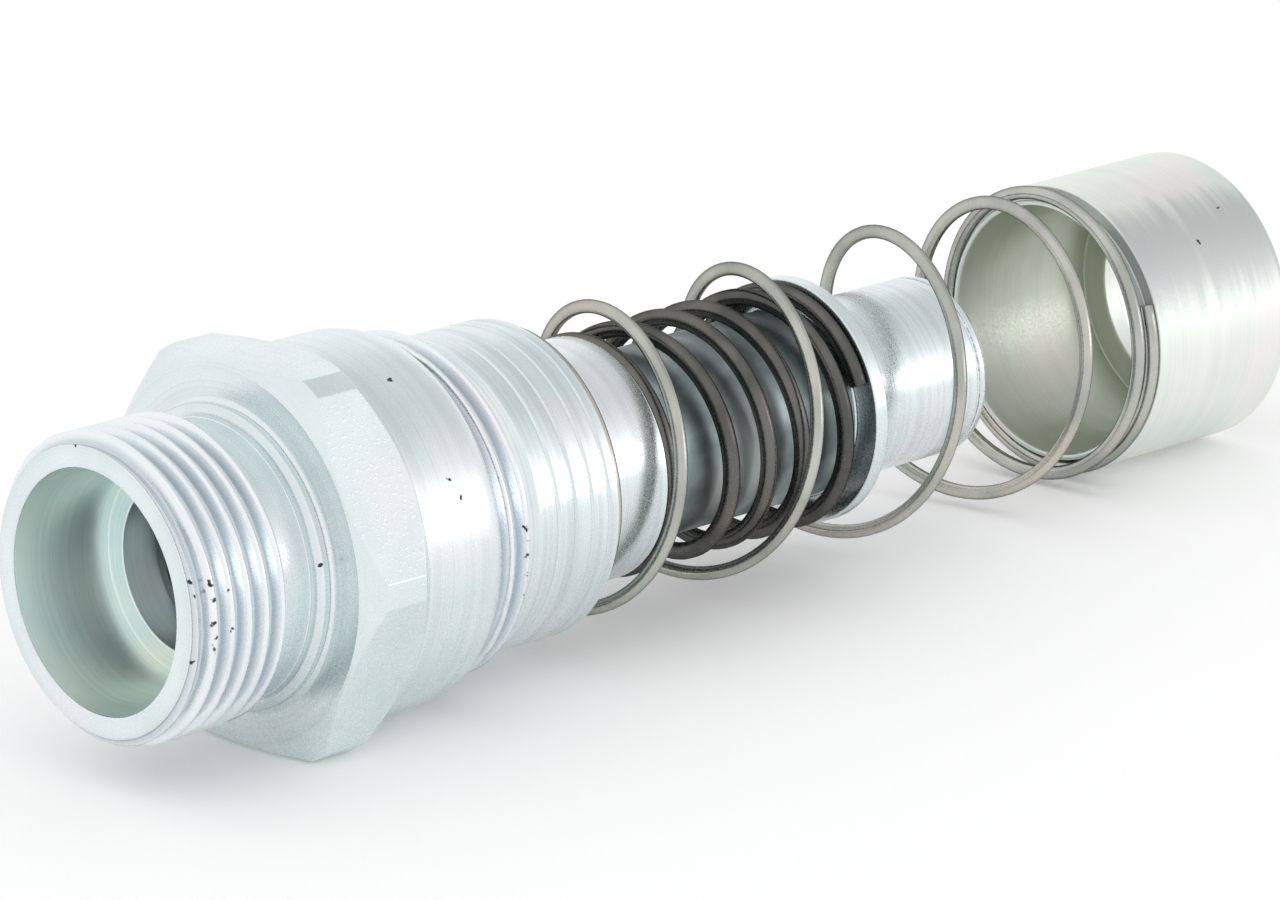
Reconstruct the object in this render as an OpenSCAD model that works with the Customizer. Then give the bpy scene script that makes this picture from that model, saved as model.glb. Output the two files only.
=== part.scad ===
// Quick coupling half for a liquid cooling line, drawn out along its axis.
// The axis is +X, from the port end to the sleeve end, and +Z is up.
// The origin is on the axis, at the step inside the port where the tube's end seats.

/* [Port] */
// Outside diameter of the port's metric fine thread
port_thread_d = 22; // [21.6:0.1:22.4]
// Pitch of the port's thread
port_pitch = 1.5; // [1.5:0.5:2]
// Full turns of the port's thread
port_turns = 5; // [3:1:5]
// Distance from the port's face to the first full turn
port_lead = 0.75; // [0.6:0.05:1.2]
// Outside diameter of the tube that the port takes
tube_d = 15; // [12:0.5:15]
// Gap between the tube and its socket, across the diameter
tube_gap = 0.1; // [0.05:0.05:0.3]
// Diameter of the sealing cone at the port's face
cone_mouth_d = 17.3; // [17:0.1:18]
// Full angle of the sealing cone
cone_angle = 24; // [22:1:40]
// Depth from the port's face to the step that stops the tube
stop_depth = 7.5; // [7:0.1:10]
// Diameter of the flow bore behind the step
port_bore_d = 12; // [8:0.5:12]
// Diameter of the port's face, where the thread's chamfer starts
port_face_d = 20.2; // [19.6:0.1:20.6]
// Diameter of the smooth undercut behind the port's thread
undercut_d = 19.7; // [18.5:0.1:20]
// Width of the smooth undercut
undercut_w = 2.55; // [1.5:0.05:4]
// Diameter of the rounded bead between the undercut and the hexagon
bead_d = 21.6; // [20.5:0.1:24]
// Width of the rounded bead
bead_w = 1.3; // [1:0.1:1.6]

/* [Hexagon and band] */
// Width across the flats of the spanner hexagon
hex_af = 27; // [27:0.5:28]
// Diameter to which the hexagon's corners are turned
hex_corner_d = 30.2; // [29.6:0.1:30.8]
// Width of the hexagon between its two chamfers, at a corner
hex_w = 3.5; // [3:0.1:12]
// Diameter of the hexagon's front face, where its front chamfer starts
hex_face_d = 26.6; // [25:0.1:27]
// Slope of the hexagon's front chamfer against the front face
hex_chamfer_angle = 30; // [20:1:45]
// Diameter of the round band behind the hexagon
band_d = 26.9; // [26.4:0.1:26.9]
// Length of the round band, with its rounded edge
band_len = 7.1; // [6:0.1:14]
// Length of the band's rounded free edge
band_edge_len = 2.1; // [1:0.1:3]
// Diameter of the band's end face
band_face_d = 25.4; // [25.3:0.1:26]

/* [Adapter inside] */
// Diameter of the chamber between the port's bore and the stem guide
chamber_d = 16; // [14:0.5:16]
// Distance from the tube stop to the shoulder that the barrel and the stem guide seat on
seat_x = 9; // [8.8:0.1:9.6]
// Distance from the tube stop to the start of the chamber's cone
chamber_start = 3; // [1:0.1:3]
// Diameter of the plain bore that centres the barrel
pilot_d = 21.2; // [20.8:0.1:21.4]

/* [Barrel] */
// Outside diameter of the thread that joins the barrel to the adapter
body_thread_d = 25; // [24.4:0.1:25]
// Pitch of that thread
body_pitch = 1.5; // [1:0.5:1.5]
// Full turns of that thread
body_turns = 6; // [5:1:6]
// Turns of the barrel's thread that stay outside the band
open_turns = 2; // [2:1:3]
// Distance from the band's end to the first open turn
open_lead = 0.55; // [0.3:0.05:0.8]
// Width of the run-out groove behind the barrel's thread
runout_w = 0.55; // [0.4:0.05:2]
// Diameter of the run-out groove
runout_d = 22.2; // [21:0.1:22.2]
// Outside diameter of the ringed barrel
barrel_d = 22.8; // [22.6:0.1:23.6]
// Length of the ringed barrel, from the run-out groove to the outer spring's seat
barrel_len = 8.1; // [8:0.1:12]
// Length of the chamfer at the barrel's front edge
barrel_chamfer = 0.8; // [0.3:0.1:1]
// Number of fine rings turned into the barrel
ring_count = 4; // [1:1:4]
// Distance between two fine rings
ring_pitch = 1.57; // [1.2:0.01:1.6]
// Distance from the run-out groove to the first fine ring
ring_start = 2.5; // [1.2:0.1:2.6]
// Width of a fine ring at the surface
ring_w = 0.34; // [0.1:0.02:0.4]
// Depth of a fine ring
ring_depth = 0.12; // [0.05:0.01:0.3]
// Outside diameter of the neck that the outer spring stands round
neck_d = 17.5; // [17.2:0.1:18]
// Length of the neck
neck_len = 7; // [6:0.1:9]
// Diameter of the flow chamber inside the barrel
barrel_chamber_d = 16; // [15.6:0.1:16.2]
// Length of the bore that guides the valve sleeve's tail
guide_bore_len = 15.6; // [15:0.1:15.6]

/* [Stem guide] */
// Outside diameter of the stem guide
guide_d = 17.2; // [17:0.1:17.4]
// Thickness of the stem guide
guide_w = 3; // [2:0.1:3.2]
// Diameter of the stem guide's hub
guide_hub_d = 8; // [7.6:0.1:8.4]
// Inner diameter of the stem guide's rim
guide_rim_d = 14.4; // [14:0.1:15]
// Number of spokes in the stem guide
spoke_count = 3; // [3:1:4]
// Width of a spoke
spoke_w = 2.4; // [1.5:0.1:3]

/* [Valve stem] */
// Diameter of the stem's long neck
stem_d = 6; // [5.8:0.1:6.4]
// Diameter of the stem's screwed end
stem_thread_d = 5; // [4.6:0.1:5]
// Length of the stem's head, between its cone and its flat face
head_len = 5.6; // [5.2:0.1:6.5]
// Width across the flats of the stem's nut
nut_af = 8; // [7.6:0.1:8.4]
// Height of the stem's nut
nut_h = 4; // [3.5:0.1:4.2]
// Outside diameter of the washer under the nut
washer_d = 9.6; // [9:0.1:10]
// Thickness of that washer
washer_w = 1; // [0.8:0.1:1.2]

/* [Valve sleeve] */
// Outside diameter of the nose
nose_d = 13.1; // [12.9:0.1:13.3]
// Length of the nose in front of its flange
nose_len = 12.3; // [11:0.1:13]
// Outside diameter of the tail that runs in the barrel
tail_d = 13.8; // [13.6:0.1:13.9]
// Length of the tail behind the flange
tail_len = 34.6; // [34.6:0.1:35]
// Diameter of the flow bore through the tail
tail_bore_d = 10; // [9.6:0.1:10.2]
// Diameter of the bore that the stem's head closes
head_bore_d = 11.2; // [11:0.1:11.4]
// Outside diameter of the flange that the inner spring pushes on
flange_d = 17.9; // [17.6:0.1:18]
// Thickness of that flange
flange_w = 1.2; // [1:0.1:1.6]
// Distance from the nose's tip to its fine groove
lip_w = 0.9; // [0.8:0.1:1.5]
// Width of the nose's fine groove
lip_groove_w = 0.35; // [0.2:0.05:0.5]
// Depth of the nose's fine groove
lip_groove_depth = 0.2; // [0.1:0.05:0.3]

/* [Springs] */
// Free length of the inner spring
inner_free = 20; // [19.5:0.1:22]
// Mean diameter of the inner spring's coils
inner_mean_d = 16.55; // [16.5:0.05:16.6]
// Wire diameter of the inner spring
inner_wire = 1.25; // [1.1:0.05:1.3]
// Part of a turn that lies flat at the inner spring's port end
inner_lead = 0.5; // [0.2:0.1:0.6]
// Free length of the outer spring
outer_free = 54; // [50:0.5:60]
// Mean diameter of the outer spring's coils
outer_mean_d = 20.7; // [20.6:0.05:20.8]
// Wire diameter of the outer spring
outer_wire = 1; // [0.8:0.05:1]
// Part of a turn that lies flat at the outer spring's port end
outer_lead = 0.6; // [0.2:0.1:0.6]

/* [Coupling sleeve] */
// Outside diameter of the coupling sleeve
sleeve_d = 21.4; // [21.2:0.1:22]
// Length of the coupling sleeve, without its spigot
sleeve_len = 13.7; // [12:0.1:18]
// Diameter of the sleeve's bore
sleeve_bore_d = 18.7; // [18.6:0.1:18.8]
// Outside diameter of the spigot that centres the outer spring
spigot_d = 19.5; // [19.4:0.1:19.5]
// Length of the spigot
spigot_len = 1.1; // [0.8:0.1:3]
// Diameter of the hole in the sleeve's end wall
end_hole_d = 14.4; // [14:0.1:15]
// Thickness of the sleeve's end wall
end_wall = 1.5; // [1.2:0.1:2.5]
// Radius of the sleeve's rounded end
sleeve_end_r = 0.8; // [0.4:0.1:1.2]

/* [Seals] */
// Section of the O-ring between the adapter and the barrel
body_seal_w = 1.1; // [1:0.05:1.1]
// Section of the O-ring round the tail
tail_seal_w = 1.5; // [1.3:0.05:1.5]
// Section of the O-ring on the stem's head
head_seal_w = 1.2; // [1.1:0.05:1.2]
// Width of a back-up ring beside an O-ring
backup_w = 0.8; // [0.6:0.05:0.8]
// Width of the plain ring that guides the tail's end
guide_ring_w = 2; // [1.6:0.1:2]
// Thickness of that ring on the radius
guide_ring_t = 1; // [0.8:0.1:1.2]
// Width of the wiper ring at the barrel's mouth
wiper_w = 1.6; // [1.2:0.1:1.8]
// Thickness of the wiper ring on the radius
wiper_t = 0.75; // [0.6:0.05:0.8]

/* [Fits] */
// Running gap between a moving piece and what guides it, on the radius
running_gap = 0.05; // [0.04:0.01:0.08]
// Gap round a seal, so that it sits in its groove without being squeezed
seal_gap = 0.03; // [0.02:0.01:0.04]
// Gap between the stem's screwed end and the pieces on it, on the radius
stem_gap = 0.05; // [0.04:0.01:0.08]
// Play between the joining threads, on the radius
thread_play = 0.05; // [0.04:0.01:0.08]
// Gap that is left where the valve sleeve stops against the stem's head
stop_gap = 0.1; // [0.05:0.05:0.15]

/* [Hidden] */

$fn = 96;
zinc = [0.74, 0.78, 0.79];
zinc_yellow = [0.80, 0.81, 0.74];
bright_steel = [0.70, 0.71, 0.72];
dark_wire = [0.23, 0.20, 0.19];
light_wire = [0.60, 0.58, 0.53];
seal_black = [0.09, 0.09, 0.10];
ptfe_white = [0.90, 0.90, 0.88];
bronze = [0.60, 0.47, 0.27];

// Share of a thread's pitch that its flat crest and its flat root take, and its depth
crest_part = 1 / 8;
root_part = 1 / 4;
depth_part = 0.61;

// Part of a pitch by which the adapter's thread opens out towards the band's end
thread_exit_part = 0.4;

// Broken edges
edge = 0.3;
fine_edge = 0.15;
nose_edge_r = 0.4;

// How far a cut runs past what it cuts
overcut = 1;

// Wall between two grooves, and the distances of the outer grooves from the faces beside them
groove_wall = 1;
guide_ring_offset = 1.6;
body_seal_offset = 0.9;
head_seal_offset = 1.5;
// Length by which the stem's end stands out of its nut
stem_end_len = 1;

// Pitch of each turn of the two springs, from the port's side
inner_pitches = [5.6, 3.7, 3.2, 4.3, 1.95];
outer_pitches = [6.7, 13.2, 14.1, 12.6, 5.1, 1.3];
// Angle round the axis at which the turns are counted, and the facets of a turn and of the wire
count_angle = 159.5;
wire_steps = 30;
wire_sides = 8;

// Places along the axis, from the port's face to the sleeve's end
port_face_x = -stop_depth;
port_thread_x = port_face_x + port_lead;
port_thread_end_x = port_thread_x + port_turns * port_pitch;
bead_x = port_thread_end_x + undercut_w;
hex_x = bead_x + bead_w;
hex_corner_x = hex_x + (hex_corner_d - hex_face_d) / 2 * tan(hex_chamfer_angle);
hex_back_x = hex_corner_x + hex_w;
band_x = hex_back_x + (hex_corner_d - band_d) / 2;
band_end_x = band_x + band_len;
body_thread_x = band_end_x + open_lead - (body_turns - open_turns) * body_pitch;
body_thread_end_x = body_thread_x + body_turns * body_pitch;
barrel_x = body_thread_end_x + runout_w;
shoulder_x = barrel_x + barrel_len;
neck_end_x = shoulder_x + neck_len;
guide_bore_x = neck_end_x - guide_bore_len;
flange_x = neck_end_x + inner_free;
nose_x = flange_x + flange_w;
tip_x = nose_x + nose_len;
tail_x = flange_x - tail_len;
sleeve_shoulder_x = shoulder_x + outer_free;
sleeve_x = sleeve_shoulder_x - spigot_len;
sleeve_end_x = sleeve_shoulder_x + sleeve_len;
end_wall_x = sleeve_end_x - end_wall;

// Radii that follow from the fits
tube_r = (tube_d + tube_gap) / 2;
cone_depth = (cone_mouth_d / 2 - tube_r) / tan(cone_angle / 2);
tail_r = tail_d / 2;
guide_bore_r = tail_r + running_gap;
barrel_pilot_r = pilot_d / 2 - running_gap;
guide_seat_r = guide_d / 2 + running_gap;
guide_seat_x = seat_x + guide_w;
chamber_end_x = chamber_start + (chamber_d - port_bore_d) / 2;

// Grooves in the barrel's guide bore, and the rings that lie in them
guide_ring_x = guide_bore_x + guide_ring_offset;
tail_seal_x = guide_ring_x + guide_ring_w + groove_wall;
tail_backup_x = tail_seal_x + tail_seal_w + seal_gap;
wiper_x = neck_end_x - wiper_w - groove_wall;
tail_ring_r = tail_r + seal_gap;
guide_ring_r = tail_ring_r + guide_ring_t;
tail_backup_r = tail_ring_r + tail_seal_w;
wiper_r = tail_ring_r + wiper_t;

// Groove on the barrel's pilot
body_seal_x = seat_x + body_seal_offset;
body_seal_r = pilot_d / 2 - seal_gap - body_seal_w;

// The stem's head, the groove on it and the pieces on the stem's screwed end
head_r = head_bore_d / 2 - running_gap;
head_x = tip_x - head_len;
head_cone_x = head_x - (head_r - stem_d / 2);
head_seat_x = head_x + running_gap - stop_gap;
head_seal_x = head_x + head_seal_offset;
head_backup_x = head_seal_x + head_seal_w + seal_gap;
head_ring_r = head_bore_d / 2 - seal_gap;
head_seal_r = head_ring_r - head_seal_w;
stem_hole_r = stem_thread_d / 2 + stem_gap;
washer_x = seat_x - washer_w;
nut_x = washer_x - nut_h;
stem_end_x = nut_x - stem_end_len;

// Revolves an outline of [x, radius] points round the axis
module turned(outline) {
    rotate([0, 90, 0])
        rotate_extrude()
            polygon([for (p = outline) [p[1], p[0]]]);
}

// A flat ring across the axis from x0 to x1
module ring(x0, x1, r_in, r_out) {
    turned([[x0, r_in], [x1, r_in], [x1, r_out], [x0, r_out]]);
}

// An O-ring of section w whose left side is at x0
module o_ring(x0, r_in, w) {
    rotate([0, 90, 0])
        rotate_extrude()
            translate([r_in + w / 2, x0 + w / 2])
                circle(d = w, $fn = 48);
}

// Sides of a groove of depth r between x0 and x1, cut from a wall of radius r_wall
function groove(x0, x1, r_wall, r) = [[x0, r_wall], [x0, r], [x1, r], [x1, r_wall]];

// The points of a list in the opposite order
function reversed(list) = [for (i = [len(list) - 1 : -1 : 0]) list[i]];

// Ridges of a thread from x0, one for each turn
function ridges(x0, turns, pitch, r_crest) =
    [for (i = [0 : turns - 1]) let (m = x0 + (i + 0.5) * pitch)
        for (p = [[-1, root_part / 2 - 1 / 2], [0, -crest_part / 2], [0, crest_part / 2],
            [-1, 1 / 2 - root_part / 2]])
            [m + p[1] * pitch, r_crest + p[0] * pitch * depth_part]];

// Points of an elliptical quarter about [x, r], from its top to its right end
function quarter(x, r, dx, dr, steps = 10) =
    [for (i = [0 : steps]) [x + dx * sin(90 * i / steps), r + dr * cos(90 * i / steps)]];

// Sum of the first n numbers of a list
function sum_to(list, n) = n <= 0 ? 0 : list[n - 1] + sum_to(list, n - 1);

// Slope of a spring's rise at the start of turn n: flat at its ends, level with its neighbours between
function rise_slope(pitches, n) =
    n <= 0 || n >= len(pitches) ? min(pitches[0], pitches[len(pitches) - 1]) / 2 :
    (pitches[n - 1] + pitches[n]) / 2;

// Rise of a spring after t turns, eased from turn to turn
function rise(pitches, t) =
    t <= 0 ? 0 :
    let (n = min(floor(t), len(pitches) - 1), u = t - n, p = pitches[n])
    sum_to(pitches, n) + p * u * u * (3 - 2 * u)
        + rise_slope(pitches, n) * u * (1 - u) * (1 - u)
        - rise_slope(pitches, n + 1) * u * u * (1 - u);

// A round wire wound on the axis from x0, filling the given length.
// The hand is 1 for a right-handed spring and -1 for a left-handed one.
module coil_spring(x0, length, mean_d, wire, pitches, lead, hand) {
    turns = len(pitches);
    count = round((turns + lead) * wire_steps);
    stretch = (length - wire) / sum_to(pitches, turns);
    rings = [for (i = [0 : count])
        let (t = turns - (count - i) / wire_steps, x = x0 + wire / 2 + stretch * rise(pitches, t),
            a = count_angle + hand * 360 * t)
        for (k = [0 : wire_sides - 1])
            let (s = 360 * (k + 0.5) / wire_sides, r = mean_d / 2 + wire / 2 * sin(s))
            [x + wire / 2 * cos(s), r * cos(a), r * sin(a)]];
    sides = [for (i = [0 : count - 1]) for (k = [0 : wire_sides - 1])
        let (a = i * wire_sides + k, b = i * wire_sides + (k + 1) % wire_sides)
        [a, b, b + wire_sides, a + wire_sides]];
    first = [for (k = [wire_sides - 1 : -1 : 0]) k];
    last = [for (k = [0 : wire_sides - 1]) count * wire_sides + k];
    faces = concat([first], sides, [last]);
    polyhedron(points = rings, faces = hand > 0 ? faces : [for (f = faces) reversed(f)], convexity = 10);
}

// Turned port adapter: coned port, thread, bead, hexagon and band, bored for the barrel
module port_adapter() {
    color(zinc)
        difference() {
            union() {
                adapter_port();
                adapter_hexagon();
                adapter_band();
            }
            adapter_bore();
        }
}

// Threaded port of the adapter, up to the bead
module adapter_port() {
    face_r = port_face_d / 2;
    bead_r = bead_d / 2;
    bead_mid = bead_x + bead_w / 2;
    turned(concat(
        [[port_face_x, 0], [port_face_x, face_r], [port_face_x + edge, face_r + edge]],
        ridges(port_thread_x, port_turns, port_pitch, port_thread_d / 2),
        [[port_thread_end_x, undercut_d / 2], [bead_x, undercut_d / 2]],
        reversed([for (p = quarter(0, bead_r - bead_w / 2, bead_w / 2, bead_w / 2)) [bead_mid - p[0], p[1]]]),
        quarter(bead_mid, bead_r - bead_w / 2, bead_w / 2, bead_w / 2),
        [[hex_x, 0]]));
}

// Spanner hexagon, turned to a round at its corners and chamfered on both sides
module adapter_hexagon() {
    intersection() {
        turned([[hex_x, 0], [hex_x, hex_face_d / 2], [hex_corner_x, hex_corner_d / 2],
            [hex_back_x, hex_corner_d / 2], [band_x, band_d / 2], [band_x, 0]]);
        translate([hex_x - overcut, 0, 0])
            rotate([0, 90, 0])
                rotate([0, 0, 30])
                    cylinder(d = hex_af / cos(30), h = band_x - hex_x + 2 * overcut, $fn = 6);
    }
}

// Round band behind the hexagon, with a rounded free edge
module adapter_band() {
    turned(concat(
        [[hex_corner_x, 0], [hex_corner_x, band_d / 2]],
        quarter(band_end_x - band_edge_len, band_face_d / 2, band_edge_len, (band_d - band_face_d) / 2),
        [[band_end_x, 0]]));
}

// Everything that is bored out of the adapter: cone, tube socket, flow bore, pilot and thread
module adapter_bore() {
    inner_turns = body_turns - open_turns - 1;
    crest_r = body_thread_d / 2 + thread_play;
    turned(concat(
        [[port_face_x - overcut, 0],
            [port_face_x - overcut, cone_mouth_d / 2 + overcut * tan(cone_angle / 2)],
            [port_face_x + cone_depth, tube_r], [0, tube_r], [0, port_bore_d / 2],
            [chamber_start, port_bore_d / 2], [chamber_end_x, chamber_d / 2],
            [seat_x, chamber_d / 2], [seat_x, pilot_d / 2], [body_thread_x, pilot_d / 2]],
        ridges(body_thread_x, inner_turns, body_pitch, crest_r),
        [[body_thread_x + inner_turns * body_pitch, crest_r - body_pitch * depth_part],
            [body_thread_x + (inner_turns + thread_exit_part) * body_pitch, crest_r],
            [band_end_x + overcut, crest_r], [band_end_x + overcut, 0]]));
}

// Barrel: pilot, joining thread, ringed barrel and neck, bored for the valve sleeve's tail
module barrel() {
    runout_r = runout_d / 2;
    barrel_r = barrel_d / 2;
    neck_r = neck_d / 2;
    color(zinc)
        turned(concat(
            [[seat_x, guide_seat_r], [seat_x, barrel_pilot_r - edge], [seat_x + edge, barrel_pilot_r]],
            groove(body_seal_x - seal_gap, body_seal_x + body_seal_w + seal_gap, barrel_pilot_r,
                body_seal_r - seal_gap),
            [[body_thread_x, barrel_pilot_r]],
            ridges(body_thread_x, body_turns, body_pitch, body_thread_d / 2),
            [[body_thread_end_x, runout_r], [barrel_x, runout_r], [barrel_x + barrel_chamfer, barrel_r]],
            [for (i = [0 : ring_count - 1]) let (m = barrel_x + ring_start + i * ring_pitch)
                for (p = [[-ring_w / 2, 0], [0, ring_depth], [ring_w / 2, 0]]) [m + p[0], barrel_r - p[1]]],
            [[shoulder_x - fine_edge, barrel_r], [shoulder_x, barrel_r - fine_edge], [shoulder_x, neck_r],
                [neck_end_x - edge, neck_r], [neck_end_x, neck_r - edge],
                [neck_end_x, guide_bore_r + fine_edge], [neck_end_x - fine_edge, guide_bore_r]],
            reversed(groove(wiper_x - seal_gap, wiper_x + wiper_w + seal_gap, guide_bore_r,
                wiper_r + seal_gap)),
            reversed(groove(tail_seal_x - seal_gap, tail_backup_x + backup_w + seal_gap, guide_bore_r,
                tail_backup_r + seal_gap)),
            reversed(groove(guide_ring_x - seal_gap, guide_ring_x + guide_ring_w + seal_gap, guide_bore_r,
                guide_ring_r + seal_gap)),
            [[guide_bore_x, guide_bore_r], [guide_bore_x - edge, guide_bore_r + edge],
                [guide_bore_x - edge, barrel_chamber_d / 2], [guide_seat_x, barrel_chamber_d / 2],
                [guide_seat_x, guide_seat_r]]));
}

// O-ring between the barrel's pilot and the adapter
module body_seal() {
    color(seal_black)
        o_ring(body_seal_x, body_seal_r, body_seal_w);
}

// Spoked disc that holds the stem on the axis and lets the liquid past
module stem_guide() {
    hub_r = guide_hub_d / 2;
    rim_r = guide_rim_d / 2;
    overlap = 0.2;
    color(bright_steel)
        union() {
            ring(seat_x, guide_seat_x, stem_hole_r, hub_r);
            ring(seat_x, guide_seat_x, rim_r, guide_d / 2);
            for (i = [0 : spoke_count - 1])
                rotate([90 + 360 * i / spoke_count, 0, 0])
                    translate([seat_x, hub_r - overlap, -spoke_w / 2])
                        cube([guide_w, rim_r - hub_r + 2 * overlap, spoke_w]);
        }
}

// Fixed stem whose flat head closes the nose
module valve_stem() {
    thread_r = stem_thread_d / 2;
    color(bright_steel)
        turned(concat(
            [[stem_end_x, 0], [stem_end_x, thread_r - edge], [stem_end_x + edge, thread_r],
                [guide_seat_x, thread_r], [guide_seat_x, stem_d / 2], [head_cone_x, stem_d / 2],
                [head_x, head_r]],
            groove(head_seal_x - seal_gap, head_backup_x + backup_w + seal_gap, head_r,
                head_seal_r - seal_gap),
            [[tip_x - fine_edge, head_r], [tip_x, head_r - fine_edge], [tip_x, 0]]));
}

// Washer between the stem's nut and the stem guide
module stem_washer() {
    color(bright_steel)
        ring(washer_x, seat_x, stem_hole_r, washer_d / 2);
}

// Nut that clamps the stem to the stem guide
module stem_nut() {
    corner_r = nut_af / 2 / cos(30);
    color(bright_steel)
        difference() {
            intersection() {
                turned([[nut_x, 0], [nut_x, nut_af / 2], [nut_x + edge, corner_r],
                    [washer_x - edge, corner_r], [washer_x, nut_af / 2], [washer_x, 0]]);
                translate([nut_x - overcut, 0, 0])
                    rotate([0, 90, 0])
                        cylinder(r = corner_r, h = nut_h + 2 * overcut, $fn = 6);
            }
            translate([nut_x - overcut, 0, 0])
                rotate([0, 90, 0])
                    cylinder(r = stem_hole_r, h = nut_h + 2 * overcut);
        }
}

// O-ring on the stem's head
module stem_seal() {
    color(seal_black)
        o_ring(head_seal_x, head_seal_r, head_seal_w);
}

// Back-up ring beside the O-ring on the stem's head
module stem_backup_ring() {
    color(ptfe_white)
        ring(head_backup_x, head_backup_x + backup_w, head_seal_r, head_ring_r);
}

// Sliding valve sleeve: tail, flange and nose in one piece
module valve_sleeve() {
    nose_r = nose_d / 2;
    flange_r = flange_d / 2;
    bore_r = tail_bore_d / 2;
    seat_r = head_bore_d / 2;
    lip_x = tip_x - lip_w;
    color(zinc)
        turned(concat(
            [[tail_x, bore_r], [tail_x, tail_r - edge], [tail_x + edge, tail_r], [flange_x, tail_r],
                [flange_x, flange_r - fine_edge], [flange_x + fine_edge, flange_r],
                [nose_x - fine_edge, flange_r], [nose_x, flange_r - fine_edge], [nose_x, nose_r],
                [lip_x - lip_groove_w / 2, nose_r], [lip_x, nose_r - lip_groove_depth],
                [lip_x + lip_groove_w / 2, nose_r]],
            quarter(tip_x - nose_edge_r, nose_r - nose_edge_r, nose_edge_r, nose_edge_r, 6),
            [[tip_x, seat_r + fine_edge], [tip_x - fine_edge, seat_r], [head_seat_x, seat_r],
                [head_seat_x - (seat_r - bore_r), bore_r]]));
}

// Plain ring that guides the end of the tail in the barrel
module tail_guide_ring() {
    color(bronze)
        ring(guide_ring_x, guide_ring_x + guide_ring_w, tail_ring_r, guide_ring_r);
}

// O-ring round the tail
module tail_seal() {
    color(seal_black)
        o_ring(tail_seal_x, tail_ring_r, tail_seal_w);
}

// Back-up ring beside the O-ring round the tail
module tail_backup_ring() {
    color(ptfe_white)
        ring(tail_backup_x, tail_backup_x + backup_w, tail_ring_r, tail_backup_r);
}

// Wiper ring at the barrel's mouth
module wiper_ring() {
    color(seal_black)
        ring(wiper_x, wiper_x + wiper_w, tail_ring_r, wiper_r);
}

// Dark spring that holds the valve sleeve out
module inner_spring() {
    color(dark_wire)
        coil_spring(neck_end_x, inner_free, inner_mean_d, inner_wire, inner_pitches, inner_lead, 1);
}

// Light spring between the barrel's shoulder and the coupling sleeve
module outer_spring() {
    color(light_wire)
        coil_spring(shoulder_x, outer_free, outer_mean_d, outer_wire, outer_pitches, outer_lead, -1);
}

// Coupling sleeve with its spigot, its deep bore and its end wall
module coupling_sleeve() {
    sleeve_r = sleeve_d / 2;
    bore_r = sleeve_bore_d / 2;
    spigot_r = spigot_d / 2;
    hole_r = end_hole_d / 2;
    color(zinc_yellow)
        turned(concat(
            [[sleeve_x, bore_r + fine_edge], [sleeve_x, spigot_r - fine_edge],
                [sleeve_x + fine_edge, spigot_r], [sleeve_shoulder_x, spigot_r],
                [sleeve_shoulder_x, sleeve_r - fine_edge], [sleeve_shoulder_x + fine_edge, sleeve_r]],
            quarter(sleeve_end_x - sleeve_end_r, sleeve_r - sleeve_end_r, sleeve_end_r, sleeve_end_r, 8),
            [[sleeve_end_x, hole_r + edge], [sleeve_end_x - edge, hole_r], [end_wall_x, hole_r],
                [end_wall_x, bore_r], [sleeve_x + fine_edge, bore_r]]));
}

port_adapter();
barrel();
body_seal();
stem_guide();
valve_stem();
stem_washer();
stem_nut();
stem_seal();
stem_backup_ring();
valve_sleeve();
tail_guide_ring();
tail_seal();
tail_backup_ring();
wiper_ring();
inner_spring();
outer_spring();
coupling_sleeve();
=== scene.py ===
import math
import bpy
import numpy as np
from mathutils import Matrix, Vector


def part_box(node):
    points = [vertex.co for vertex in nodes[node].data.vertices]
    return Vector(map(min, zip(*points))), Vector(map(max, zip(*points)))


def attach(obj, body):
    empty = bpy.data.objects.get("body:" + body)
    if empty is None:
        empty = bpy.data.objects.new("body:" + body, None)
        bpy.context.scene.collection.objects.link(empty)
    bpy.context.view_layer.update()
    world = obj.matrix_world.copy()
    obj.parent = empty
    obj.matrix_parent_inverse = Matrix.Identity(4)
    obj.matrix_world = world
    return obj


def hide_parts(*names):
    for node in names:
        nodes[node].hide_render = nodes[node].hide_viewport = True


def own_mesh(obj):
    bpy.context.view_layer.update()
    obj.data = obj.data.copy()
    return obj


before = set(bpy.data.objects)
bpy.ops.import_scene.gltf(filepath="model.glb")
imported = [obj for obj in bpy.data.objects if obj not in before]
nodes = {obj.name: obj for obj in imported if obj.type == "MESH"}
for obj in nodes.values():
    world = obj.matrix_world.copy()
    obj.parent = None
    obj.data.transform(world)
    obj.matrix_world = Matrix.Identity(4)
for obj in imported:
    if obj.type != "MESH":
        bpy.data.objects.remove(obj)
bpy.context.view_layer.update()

MM = 0.001
random = np.random.default_rng(7)


def low_x(node):
    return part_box(node)[0].x / MM


def high_x(node):
    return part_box(node)[1].x / MM


# ---------------------------------------------------------------- sizes, in mm
# Places along the axis
PORT_X = low_x("port_adapter")
BAND_END_X = high_x("port_adapter")
SEAT_X = low_x("barrel")
NECK_END_X = high_x("barrel")
TAIL_X = low_x("valve_sleeve")
TIP_X = high_x("valve_sleeve")
SLEEVE_X = low_x("coupling_sleeve")
SLEEVE_END_X = high_x("coupling_sleeve")

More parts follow.
